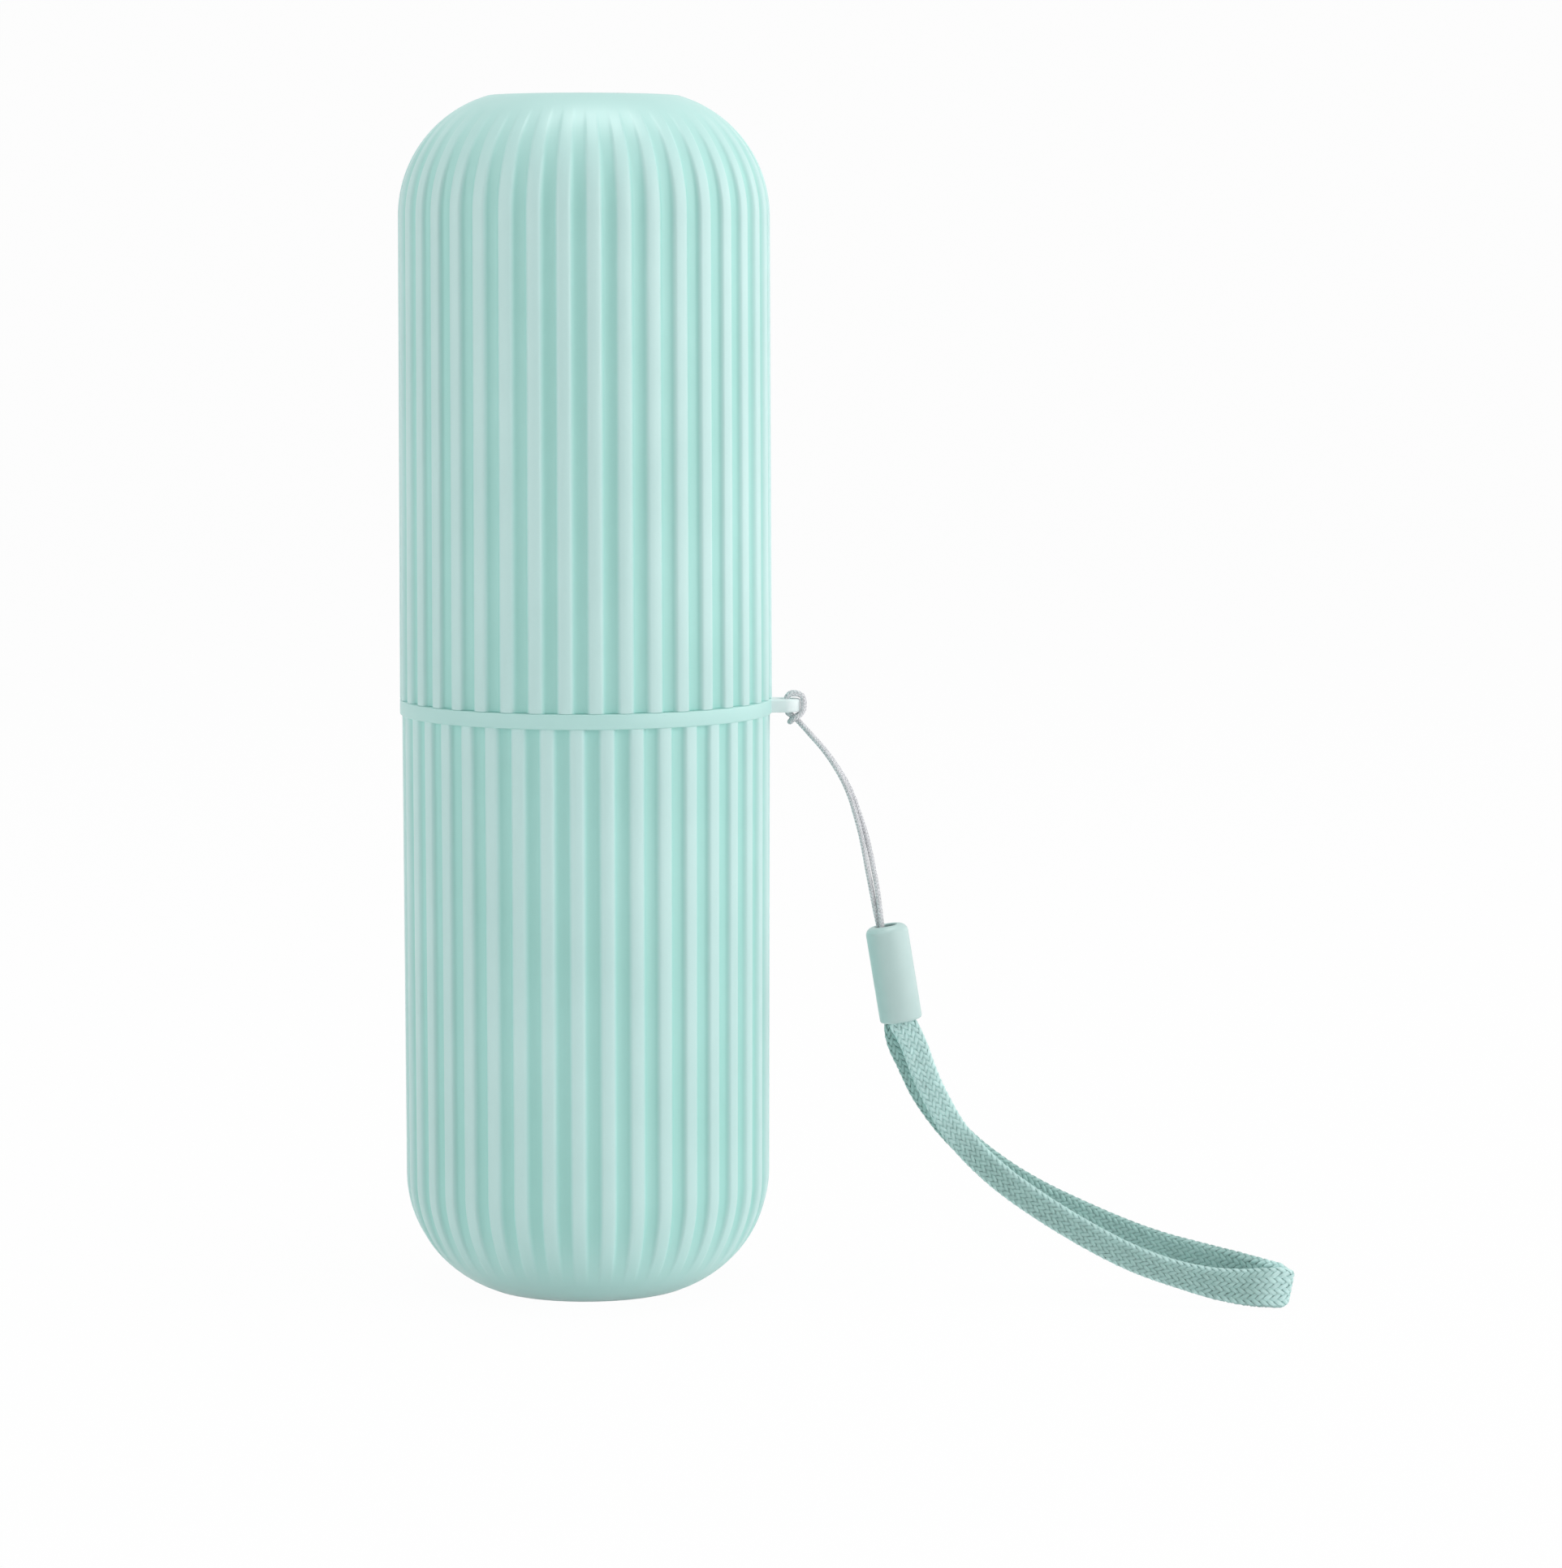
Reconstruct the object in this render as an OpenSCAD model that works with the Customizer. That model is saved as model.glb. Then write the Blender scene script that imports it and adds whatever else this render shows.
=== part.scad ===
// Travel toothbrush case: a ribbed two-part cylinder with a wrist lanyard.
// Millimetres, +Z up, origin at the centre of the base's flat underside, lanyard eye towards +X.

/* [Case] */
// Diameter over the rib crests at the seam
case_d = 62.2; // [50:0.1:80]
// Height of the closed case
case_h = 199; // [170:0.5:230]
// Height of the seam above the table
seam_z = 99.2; // [85:0.1:115]
// Radius of the rounded top and bottom corners
corner_r = 20.6; // [15:0.1:24]
// How far the lid's flat top cuts into the round of its corner
top_cut = 0.8; // [0.4:0.1:2]
// How far the base's flat underside cuts into the round of its corner
foot_cut = 1.4; // [0.4:0.1:3]
// Thickness of the flat top and of the floor
cap_t = 2.2; // [1.6:0.1:4]
// Lid wall left under the grooves at the mouth
lid_wall = 1.4; // [1:0.1:2.5]
// Draft of the lid's wall, in degrees
lid_draft = 0.23; // [0.1:0.01:0.6]
// Draft of the base's wall, in degrees
base_draft = 0.1; // [0.05:0.01:0.6]

/* [Ribs] */
// Number of ribs round the case
rib_count = 39; // [24:1:48]
// Depth of the grooves between the ribs
rib_depth = 1; // [0.5:0.1:1.3]
// Smooth run between the ends of the lid's grooves and its flat top
lid_smooth = 4.3; // [1:0.1:8]
// Smooth run between the ends of the base's grooves and its flat underside
base_smooth = 6.7; // [1:0.1:10]
// How far the lid's ribs are turned from a crest over the eye, in degrees
lid_turn = -1.7; // [-4.5:0.1:4.5]
// How far the base's ribs are turned from a crest over the eye, in degrees
base_turn = 1.7; // [-4.5:0.1:4.5]

/* [Seam] */
// Height of the smooth band under the seam
band_h = 2.5; // [1.5:0.1:5]
// Step from the band in to the base's rib crests
band_step = 0.35; // [0.1:0.05:1]
// Height of the spigot that the lid plugs onto
spigot_h = 12; // [6:0.5:20]
// Wall of the spigot
spigot_wall = 1.1; // [0.8:0.1:2]
// Gap all round between the spigot and the lid
fit_gap = 0.05; // [0.02:0.01:0.1]
// Size of the lead-in chamfer at the spigot's rim
lead_in = 0.6; // [0.3:0.1:1]

/* [Eye] */
// Width of the eye tab, rounded at its end
eye_w = 5; // [4:0.1:8]
// Thickness of the eye tab
eye_t = 2.2; // [1.4:0.1:2.4]
// Diameter of the hole in the eye tab
eye_hole_d = 2.2; // [2:0.1:3]
// Distance from the band out to the centre of the hole
eye_reach = 2.2; // [1.8:0.1:5]

/* [Lanyard] */
// Thickness of the string
string_d = 0.9; // [0.5:0.05:0.9]
// Outer diameter of the ferrule
ferrule_d = 7.1; // [6.7:0.1:8.5]
// Length of the ferrule
ferrule_len = 16.2; // [12:0.1:20]
// Wall of the ferrule round the strap
ferrule_wall = 0.8; // [0.4:0.05:0.9]
// Radius of the ferrule's rounded top edge
ferrule_round = 1.3; // [0.3:0.1:1.3]
// Thickness of the ferrule's top
ferrule_cap = 1.8; // [1:0.1:3]
// Diameter of the hole that the string goes in by
ferrule_hole_d = 3.6; // [3.2:0.1:4]
// Lean of the ferrule from upright, in degrees
ferrule_lean = 9.3; // [5:0.1:13]
// Width of the strap along its run
strap_w = 4.6; // [3:0.1:5.5]
// Width of the strap where it is gathered into the ferrule
strap_gather_w = 4; // [3:0.1:4.1]
// Width of the strap where it lies flat at its fold
strap_fold_w = 7; // [5:0.1:7.1]
// Thickness of the strap
strap_t = 1.6; // [0.8:0.1:1.7]
// Length of strap that flattens out on each side of the fold
strap_flare = 22; // [10:1:30]

/* [Hidden] */

$fn = 96;
// Overrun of every cut past the face that it opens
cut = 1;
case_color = "#b9e0dd";
string_color = "#bdbfc3";
ferrule_color = "#b7d7d3";
strap_color = "#93bab5";

case_r = case_d / 2;
band_z = seam_z - band_h;
base_r = case_r - band_step;
bore_r = case_r - rib_depth - lid_wall;
spigot_r = bore_r - fit_gap;
base_bore_r = spigot_r - spigot_wall;
rib_pitch = 360 / rib_count;

eye_x = case_r + eye_reach;
eye_z = seam_z - band_h / 2;

// A half case grows from its mouth at z = 0 towards its closed end.
// Height of the corner's centre above the mouth
function corner_z(height, end_cut) = height + end_cut - corner_r;
// Wall radius at the height of the corner's centre
function far_r(mouth_r, height, end_cut, draft) =
    mouth_r - corner_z(height, end_cut) * tan(draft);

// Solid of revolution: drafted wall, round corner about a fixed centre, flat end
module half_body(mouth_r, axis_r, axis_z, round_r, height, draft) {
    rotate_extrude()
        intersection() {
            square([mouth_r, height]);
            union() {
                polygon([
                    [0, 0],
                    [mouth_r, 0],
                    [axis_r + round_r * cos(draft), axis_z + round_r * sin(draft)],
                    [axis_r, axis_z],
                    [axis_r, height],
                    [0, height]
                ]);
                translate([axis_r, axis_z])
                    circle(r = round_r);
            }
        }
}

// One rib and the groove after it: places across the pitch and depths, as shares of each
rib_shape_shares = [[0, 0], [0.2, 0.06], [0.29, 0.88], [0.5, 1], [0.71, 0.88], [0.8, 0.06]];
// Steps in which the ribs are followed round a corner, and those of the smooth run past them
corner_steps = 8;
smooth_steps = 3;

// Ring of points round a half at one row of its profile; the grooves dig in square to the surface
function rib_ring(r, z, turn, depth) = [
    for (i = [0 : rib_count - 1], s = rib_shape_shares)
        let (a = (i + s[0]) * rib_pitch, out = r - s[1] * depth * cos(turn))
            [out * cos(a), out * sin(a), z - s[1] * depth * sin(turn)]
];

// Outside of a half case: ribs up the wall that fade out round the corner, a crest at +X
module ribbed_half(mouth_r, height, end_cut, draft, smooth) {
    axis_z = corner_z(height, end_cut);
    axis_r = far_r(mouth_r, height, end_cut, draft) - corner_r;
    edge_turn = asin((height - axis_z) / corner_r);
    fade_turn = edge_turn - smooth / corner_r * 180 / PI;
    step = (fade_turn - draft) / corner_steps;
    smooth_step = (edge_turn + step - fade_turn) / smooth_steps;
    function corner_ring(turn, depth) =
        rib_ring(axis_r + corner_r * cos(turn), axis_z + corner_r * sin(turn), turn, depth);
    rings = [
        rib_ring(mouth_r + cut * tan(draft), -cut, draft, rib_depth),
        for (k = [0 : corner_steps])
            corner_ring(draft + k * step, rib_depth * (1 + cos(180 * k / corner_steps)) / 2),
        for (k = [1 : smooth_steps])
            corner_ring(fade_turn + k * smooth_step, 0)
    ];
    intersection() {
        skin(rings);
        cylinder(r = mouth_r + cut, h = height);
    }
}

// Inside of a half case: a straight bore whose corner shares the centre of the outer one
module hollow(mouth_r, inner_r, height, end_cut, draft) {
    axis_z = corner_z(height, end_cut);
    axis_r = far_r(mouth_r, height, end_cut, draft) - corner_r;
    half_body(inner_r, axis_r, axis_z, inner_r - axis_r, height - cap_t, 0);
    translate([0, 0, -cut])
        cylinder(r = inner_r, h = cut);
}

// Tab with a round end and a hole, moulded onto the band at +X
module eye_tab() {
    translate([0, 0, eye_z - eye_t / 2])
        linear_extrude(eye_t)
            difference() {
                union() {
                    translate([eye_x, 0])
                        circle(d = eye_w);
                    translate([base_r - lid_wall, -eye_w / 2])
                        square([eye_x - base_r + lid_wall, eye_w]);
                }
                translate([eye_x, 0])
                    circle(d = eye_hole_d);
            }
}

// Smooth band with the spigot standing on it
module band_and_spigot() {
    translate([0, 0, band_z])
        cylinder(r = case_r, h = band_h);
    translate([0, 0, seam_z])
        cylinder(r = spigot_r, h = spigot_h - lead_in);
    translate([0, 0, seam_z + spigot_h - lead_in])
        cylinder(r1 = spigot_r, r2 = spigot_r - lead_in, h = lead_in);
}

module base_cup() {
    color(case_color)
        difference() {
            union() {
                translate([0, 0, band_z])
                    rotate([0, 0, base_turn])
                        mirror([0, 0, 1])
                            ribbed_half(base_r, band_z, foot_cut, base_draft, base_smooth);
                band_and_spigot();
                eye_tab();
            }
            translate([0, 0, band_z])
                mirror([0, 0, 1])
                    hollow(base_r, base_bore_r, band_z, foot_cut, base_draft);
            translate([0, 0, band_z])
                cylinder(r = base_bore_r, h = band_h + spigot_h + cut);
        }
}

module lid() {
    color(case_color)
        translate([0, 0, seam_z])
            rotate([0, 0, lid_turn])
                difference() {
                    ribbed_half(case_r, case_h - seam_z, top_cut, lid_draft, lid_smooth);
                    hollow(case_r, bore_r, case_h - seam_z, top_cut, lid_draft);
                }
}

// Cord routes are lists of points measured from the centre of the eye's hole.
// Centre of the string's two strands, from below the hitch down into the ferrule
string_route = [
    [2.6, -0.3, -3.1], [4.4, -1.4, -5.0], [6.4, -2.3, -7.2], [8.2, -3.1, -9.6], [9.8, -3.9, -12.2],
    [11.1, -4.5, -15.0], [12.1, -5.0, -18.0], [13.0, -5.5, -21.0], [13.7, -5.9, -24.1],
    [14.3, -6.3, -27.2], [14.9, -6.7, -30.4], [15.4, -6.9, -33.5], [15.9, -7.0, -36.6],
    [16.4, -7.0, -39.6]
];
// The hitch's front side: up through the hole, over the rim and back down beside the strands
hitch_front = [
    [1.8, -0.5, -2.35], [1.1, -0.5, -1.75], [0.45, -0.5, -1.3], [0.25, -0.5, -0.5],
    [0.2, -0.5, 0.5], [0.3, -0.5, 1.3], [0.8, -0.5, 1.8], [1.5, -0.5, 1.9], [2.3, -0.5, 1.8],
    [2.9, -0.5, 1.35], [3.0, -0.5, 0.4], [3.0, -0.6, -0.5], [2.85, -0.8, -1.2], [2.5, -1.15, -1.6]
];
// Its back side, which lies a little looser round the tab's end
hitch_back = [
    [1.8, 0.5, -2.35], [1.1, 0.5, -1.75], [0.45, 0.5, -1.3], [0.25, 0.5, -0.5],
    [0.2, 0.5, 0.5], [0.3, 0.5, 1.3], [0.8, 0.5, 1.85], [1.5, 0.5, 2.0], [2.4, 0.5, 1.8],
    [3.0, 0.5, 1.25], [3.2, 0.5, 0.3], [3.15, 0.6, -0.6], [2.95, 0.8, -1.2], [2.5, 1.15, -1.6]
];
// The bight that wraps round the strands from one side of the hitch to the other
hitch_bight = [
    [1.9, -1.4, -1.95], [1.3, -1.35, -2.35], [0.9, -0.8, -2.75], [0.8, 0, -2.85],
    [0.9, 0.8, -2.75], [1.3, 1.35, -2.35], [1.9, 1.4, -1.95]
];
// The strap from inside the ferrule out to its fold and back
strap_route = [
    [18.0, -7.9, -44.0], [18.7, -7.9, -48.0], [19.4, -7.9, -52.2], [20.3, -8.0, -53.8],
    [21.5, -8.3, -56.3], [23.2, -8.8, -60.8], [25.2, -9.8, -65.1], [28.8, -11.4, -71.0],
    [34.8, -13.5, -76.9], [41.9, -15.6, -81.9], [51.0, -18.0, -87.1], [59.5, -20.0, -90.9],
    [68.4, -21.6, -93.4], [74.8, -22.5, -94.3], [79.5, -22.9, -94.4], [82.0, -22.6, -94.4],
    [83.0, -21.3, -94.4], [81.9, -20.1, -94.3], [79.5, -19.2, -93.8], [75.4, -17.0, -92.7],
    [68.4, -13.7, -90.9], [59.5, -10.8, -88.6], [51.0, -9.1, -85.4], [41.9, -7.9, -81.2],
    [34.6, -7.0, -76.7], [28.6, -6.6, -71.6], [23.7, -6.2, -65.3], [20.7, -6.0, -59.3],
    [19.3, -6.0, -56.2], [18.8, -6.0, -53.8], [19.2, -6.1, -52.2], [18.6, -6.1, -48.0],
    [18.0, -6.1, -44.0]
];
// Place of the ferrule's head, and how far up it the strap's ends are held
ferrule_head = [16.8, -7.0, -36.3];

// Outline of the strap across its run, as shares of half its width and half its thickness
strap_section_shares = [
    [1, 0.4], [0.75, 1], [-0.75, 1], [-1, 0.4], [-1, -0.4], [-0.75, -1], [0.75, -1], [1, -0.4]
];
string_sides = 8;

// The way that the strap's edge faces: up at the fold, and more to the side towards the ferrule
strap_low = -95;
strap_high = -45;
function strap_edge_way(p) = [0.3 * (p[2] - strap_low) / (strap_high - strap_low), 0, 1];

function unit(v) = v / norm(v);
function across(v, along) = unit(v - (v * along) * along);

// Direction of a route at one of its points
function heading(route, i) =
    unit(route[min(i + 1, len(route) - 1)] - route[max(i - 1, 0)]);

// Distance along a route to each of its points
function mileage(route) = [
    for (i = 0, run = 0; i < len(route); i = i + 1,
         run = i < len(route) ? run + norm(route[i] - route[i - 1]) : run)
        run
];

// A frame carried along a route without spin: one sideways direction for each point
function carried(route, start) = [
    for (i = 0, side = across(start, heading(route, 0)); i < len(route); i = i + 1,
         side = i < len(route) ? across(side, heading(route, i)) : side)
        side
];

// Solid swept through rings of points, each ring with as many points as the last
module skin(rings) {
    sides = len(rings[0]);
    last = len(rings) - 1;
    walls = [
        for (i = [0 : last - 1], j = [0 : sides - 1])
            let (k = (j + 1) % sides)
                each [
                    [i * sides + j, (i + 1) * sides + j, i * sides + k],
                    [i * sides + k, (i + 1) * sides + j, (i + 1) * sides + k]
                ]
    ];
    first_cap = [for (j = [1 : sides - 2]) [0, j, j + 1]];
    last_cap = [for (j = [1 : sides - 2]) [last * sides, last * sides + j + 1, last * sides + j]];
    polyhedron(points = [for (ring = rings) each ring], faces = concat(walls, first_cap, last_cap));
}

// The strands run side by side, touching, and turn about each other by half a turn
string_half_gap = 0.5;
function strand(side) =
    let (last = len(string_route) - 1)
    [
        for (i = [0 : last])
            let (
                along = heading(string_route, i),
                deep = across([0, 1, 0], along),
                turn = 180 * pow(i / last, 2)
            )
            string_route[i] + side * string_half_gap * (cos(turn) * deep + sin(turn) * cross(along, deep))
    ];
function reversed(list) = [for (i = [len(list) - 1 : -1 : 0]) list[i]];
string_path = concat(
    reversed(strand(-1)), hitch_front, hitch_bight, reversed(hitch_back), strand(1)
);

module string_loop() {
    sides = carried(string_path, [1, 0, 0]);
    rings = [
        for (i = [0 : len(string_path) - 1])
            let (up = cross(heading(string_path, i), sides[i]))
                [
                    for (j = [0 : string_sides - 1])
                        let (a = j * 360 / string_sides)
                            string_path[i] + (string_d / 2) * (cos(a) * sides[i] + sin(a) * up)
                ]
    ];
    color(string_color)
        translate([eye_x, 0, eye_z])
            skin(rings);
}

module ferrule() {
    r = ferrule_d / 2;
    core = r - ferrule_round;
    color(ferrule_color)
        translate([eye_x, 0, eye_z])
            translate(ferrule_head)
                rotate([0, -ferrule_lean, 0])
                    translate([0, 0, -ferrule_len])
                        rotate_extrude()
                            difference() {
                                union() {
                                    square([r, ferrule_len - ferrule_round]);
                                    square([core, ferrule_len]);
                                    translate([core, ferrule_len - ferrule_round])
                                        circle(r = ferrule_round);
                                }
                                square([r - ferrule_wall, ferrule_len - ferrule_cap]);
                                square([ferrule_hole_d / 2, ferrule_len]);
                            }
}

module strap_loop() {
    miles = mileage(strap_route);
    last = len(strap_route) - 1;
    fold = last / 2;
    function width(i) =
        let (flat = 1 - abs(miles[i] - miles[fold]) / strap_flare)
            flat > 0 ? strap_w + (strap_fold_w - strap_w) * flat
            : min(i, last - i) < 3 ? strap_gather_w
            : strap_w;
    rings = [
        for (i = [0 : last])
            let (
                along = heading(strap_route, i),
                up = across(strap_edge_way(strap_route[i]), along),
                out = cross(along, up)
            )
            [
                for (s = strap_section_shares)
                    strap_route[i] + s[0] * width(i) / 2 * up + s[1] * strap_t / 2 * out
            ]
    ];
    color(strap_color)
        translate([eye_x, 0, eye_z])
            skin(rings);
}

base_cup();
lid();
string_loop();
ferrule();
strap_loop();
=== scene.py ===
# Travel toothbrush case: moulded shells, braided string, ferrule and braided wrist strap.
# Metres in the frame's own axes: +Z up, the lanyard eye towards +X, the viewer towards -Y.
import math

import bpy
from mathutils import Matrix, Vector, noise


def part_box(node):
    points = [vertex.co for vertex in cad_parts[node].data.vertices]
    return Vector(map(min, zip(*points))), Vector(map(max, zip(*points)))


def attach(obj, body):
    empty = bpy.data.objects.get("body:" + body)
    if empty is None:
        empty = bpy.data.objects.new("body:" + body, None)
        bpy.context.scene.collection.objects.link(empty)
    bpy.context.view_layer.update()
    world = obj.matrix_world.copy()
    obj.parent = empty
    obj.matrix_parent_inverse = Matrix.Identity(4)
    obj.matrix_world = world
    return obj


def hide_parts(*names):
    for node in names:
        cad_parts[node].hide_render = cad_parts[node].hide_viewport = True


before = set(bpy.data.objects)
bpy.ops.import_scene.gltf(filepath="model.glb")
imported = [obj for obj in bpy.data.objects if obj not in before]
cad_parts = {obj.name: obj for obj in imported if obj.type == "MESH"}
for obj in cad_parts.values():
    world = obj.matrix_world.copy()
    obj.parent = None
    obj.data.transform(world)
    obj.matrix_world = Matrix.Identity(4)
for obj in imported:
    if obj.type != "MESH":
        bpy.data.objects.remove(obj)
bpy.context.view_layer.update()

MM = 0.001

# Camera, as the photograph was taken
camera_at = Vector((32.6, -810, 172.6)) * MM
camera_pitch = math.radians(6.2)
focal_px = 5983
photo_long_px = 1932
sensor_mm = 36

# Case: what the frame says
base_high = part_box("base_cup")[1]
lid_low, lid_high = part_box("lid")
case_r = base_high.y
case_h = lid_high.z
seam_z = lid_low.z
spigot_top = base_high.z
eye_tip = base_high.x

# Case: the sizes behind the frame
corner_r = 20.6 * MM
top_cut = 0.8 * MM
foot_cut = 1.4 * MM
cap_t = 2.2 * MM
lid_wall = 1.4 * MM
lid_draft = math.radians(0.23)
base_draft = math.radians(0.1)
rib_count = 39
rib_depth = 1 * MM
lid_smooth = 4.3 * MM
base_smooth = 6.7 * MM
base_hold = 1.3
lid_turn = math.radians(-1.7)
base_turn = math.radians(1.7)
band_h = 2.5 * MM
band_step = 0.35 * MM
spigot_wall = 1.1 * MM
fit_gap = 0.05 * MM
lead_in = 0.6 * MM
edge_round = 0.2 * MM
eye_w = 5 * MM
eye_t = 2.2 * MM
eye_hole_d = 2.2 * MM
eye_round = 0.35 * MM

band_z = seam_z - band_h
base_r = case_r - band_step
bore_r = case_r - rib_depth - lid_wall
spigot_r = bore_r - fit_gap
base_bore_r = spigot_r - spigot_wall
eye = Vector((eye_tip - eye_w / 2, 0, seam_z - band_h / 2))

# Ferrule
ferrule_d = 7.1 * MM
ferrule_len = 16.2 * MM
ferrule_wall = 0.8 * MM
ferrule_round = 1.3 * MM
ferrule_foot_round = 0.5 * MM
ferrule_bore_round = 0.15 * MM
ferrule_cap = 1.8 * MM
ferrule_hole_d = 3.6 * MM
ferrule_lean = math.radians(9.3)

# String: a braid of so many yarns, each once round it in a lay
string_d = 0.9 * MM
string_half_gap = 0.5 * MM
string_yarns = 12
string_lay = 3.5 * MM
string_yarn_t = 0.12 * MM
string_step = 0.16 * MM

# Strap: widths along its runs, inside the ferrule and at its fold, and the lengths over which it
# widens to the fold and narrows to the ferrule
strap_w = 4.6 * MM
strap_gather_w = 4 * MM
strap_fold_w = 7 * MM
strap_t = 1.6 * MM
strap_flare = 22 * MM
strap_gather = 8 * MM
strap_yarns = 28
strap_lay = 17 * MM
strap_yarn_t = 0.34 * MM
strap_step = 0.34 * MM
strap_fibres = 700
strap_fibre_len = 0.6 * MM
strap_fibre_t = 0.025 * MM

# Routes in millimetres from the centre of the eye's hole
string_route = [
    (2.6, -0.3, -3.1), (4.4, -1.4, -5.0), (6.4, -2.3, -7.2), (8.2, -3.1, -9.6), (9.8, -3.9, -12.2),
    (11.1, -4.5, -15.0), (12.1, -5.0, -18.0), (13.0, -5.5, -21.0), (13.7, -5.9, -24.1),
    (14.3, -6.3, -27.2), (14.9, -6.7, -30.4), (15.4, -6.9, -33.5), (15.9, -7.0, -36.6),
    (16.4, -7.0, -39.6),
]
hitch_front = [
    (1.8, -0.5, -2.35), (1.1, -0.5, -1.75), (0.45, -0.5, -1.3), (0.25, -0.5, -0.5),
    (0.2, -0.5, 0.5), (0.3, -0.5, 1.3), (0.8, -0.5, 1.8), (1.5, -0.5, 1.9), (2.3, -0.5, 1.8),
    (2.9, -0.5, 1.35), (3.0, -0.5, 0.4), (3.0, -0.6, -0.5), (2.85, -0.8, -1.2), (2.5, -1.15, -1.6),
]
hitch_back = [
    (1.8, 0.5, -2.35), (1.1, 0.5, -1.75), (0.45, 0.5, -1.3), (0.25, 0.5, -0.5),
    (0.2, 0.5, 0.5), (0.3, 0.5, 1.3), (0.8, 0.5, 1.85), (1.5, 0.5, 2.0), (2.4, 0.5, 1.8),
    (3.0, 0.5, 1.25), (3.2, 0.5, 0.3), (3.15, 0.6, -0.6), (2.95, 0.8, -1.2), (2.5, 1.15, -1.6),
]
hitch_bight = [
    (1.9, -1.4, -1.95), (1.3, -1.35, -2.35), (0.9, -0.8, -2.75), (0.8, 0, -2.85),
    (0.9, 0.8, -2.75), (1.3, 1.35, -2.35), (1.9, 1.4, -1.95),
]
strap_route = [
    (18.0, -7.9, -44.0), (18.7, -7.9, -48.0), (19.4, -7.9, -52.2), (20.3, -8.0, -53.8),
    (21.5, -8.3, -56.3), (23.2, -8.8, -60.8), (25.2, -9.8, -65.1), (28.8, -11.4, -71.0),
    (34.8, -13.5, -76.9), (41.9, -15.6, -81.9), (51.0, -18.0, -87.1), (59.5, -20.0, -90.9),
    (68.4, -21.6, -93.4), (74.8, -22.5, -94.3), (79.5, -22.9, -94.4), (82.0, -22.6, -94.4),
    (83.0, -21.3, -94.4), (81.9, -20.1, -94.3), (79.5, -19.2, -93.8), (75.4, -17.0, -92.7),
    (68.4, -13.7, -90.9), (59.5, -10.8, -88.6), (51.0, -9.1, -85.4), (41.9, -7.9, -81.2),
    (34.6, -7.0, -76.7), (28.6, -6.6, -71.6), (23.7, -6.2, -65.3), (20.7, -6.0, -59.3),
    (19.3, -6.0, -56.2), (18.8, -6.0, -53.8), (19.2, -6.1, -52.2), (18.6, -6.1, -48.0),
    (18.0, -6.1, -44.0),
]
ferrule_head = Vector((16.8, -7.0, -36.3)) * MM
# The strap's edge leans towards +X, as a share of its upward reach. The lean grows with the height
# above the fold, from none at strap_low to edge_lean_share at strap_high, both in millimetres from
# the eye. The fold adds a lean of its own, and so do the ends: theirs starts at held_lean_start from
# an end and is full held_lean_len nearer to it
strap_low = -95
strap_high = -45
edge_lean_share = 0.3
fold_lean_share = 0.2
fold_lean_len = 8 * MM
held_lean_share = 2
held_lean_start = 15 * MM
held_lean_len = 10 * MM


def make_camera():
    data = bpy.data.cameras.new("camera")
    data.sensor_width = sensor_mm
    data.lens = sensor_mm * focal_px / photo_long_px
    data.clip_start = 10 * MM
    data.clip_end = 100
    camera = bpy.data.objects.new("camera", data)
    camera.location = camera_at
    camera.rotation_euler = (math.pi / 2 - camera_pitch, 0, 0)
    bpy.context.scene.collection.objects.link(camera)
    bpy.context.scene.camera = camera


def add_mesh(name, points, faces, material, sharp_angle=None, marks=None):
    """A smooth-shaded mesh object; edges sharper than the angle keep their crease.

    marks are named numbers, one for each point, that the material reads.
    """
    mesh = bpy.data.meshes.new(name)
    mesh.from_pydata(points, [], faces)
    mesh.update()
    for mark, values in (marks or {}).items():
        mesh.attributes.new(mark, "FLOAT", "POINT").data.foreach_set("value", values)
    mesh.shade_smooth()
    if sharp_angle is not None:
        mesh.set_sharp_from_angle(angle=sharp_angle)
    mesh.materials.append(material)
    piece = bpy.data.objects.new(name, mesh)
    bpy.context.scene.collection.objects.link(piece)
    return piece


# Moulded shells
# Places across one rib pitch where the surface has a column of points, from a crest to the groove
half_pitch_shares = [0, 0.07, 0.12, 0.155, 0.185, 0.21, 0.235, 0.26, 0.285, 0.31, 0.34, 0.4, 0.5]
pitch_shares = half_pitch_shares + [1 - s for s in reversed(half_pitch_shares[1:-1])]
crest_end_share = 0.165
floor_end_share = 0.345
crest_dome_share = 0.1
floor_dish_share = 0.12
# Painted shade on the surface, from 0 on the crests to 1 on the groove floors: the depths between which
# it changes, and the painted shade of the smooth band, crown and underside
shade_start_share = 0.15
shade_span_share = 0.75
smooth_shade = 0.45


def smooth_step(t):
    t = min(max(t, 0), 1)
    return t * t * (3 - 2 * t)


def groove_share(place):
    """Depth of the surface at a place across the pitch, as a share of the full depth."""
    off_crest = min(place, 1 - place)
    dome = crest_dome_share * min(off_crest / crest_end_share, 1) ** 2
    flank = smooth_step((off_crest - crest_end_share) / (floor_end_share - crest_end_share))
    rise = (0.5 - max(off_crest, floor_end_share)) / (0.5 - floor_end_share)
    dish = floor_dish_share * (1 - rise**2)
    return dome + (1 - crest_dome_share - floor_dish_share) * flank + dish


columns = [
    ((i + place) * math.tau / rib_count, groove_share(place))
    for i in range(rib_count)
    for place in pitch_shares
]


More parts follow.
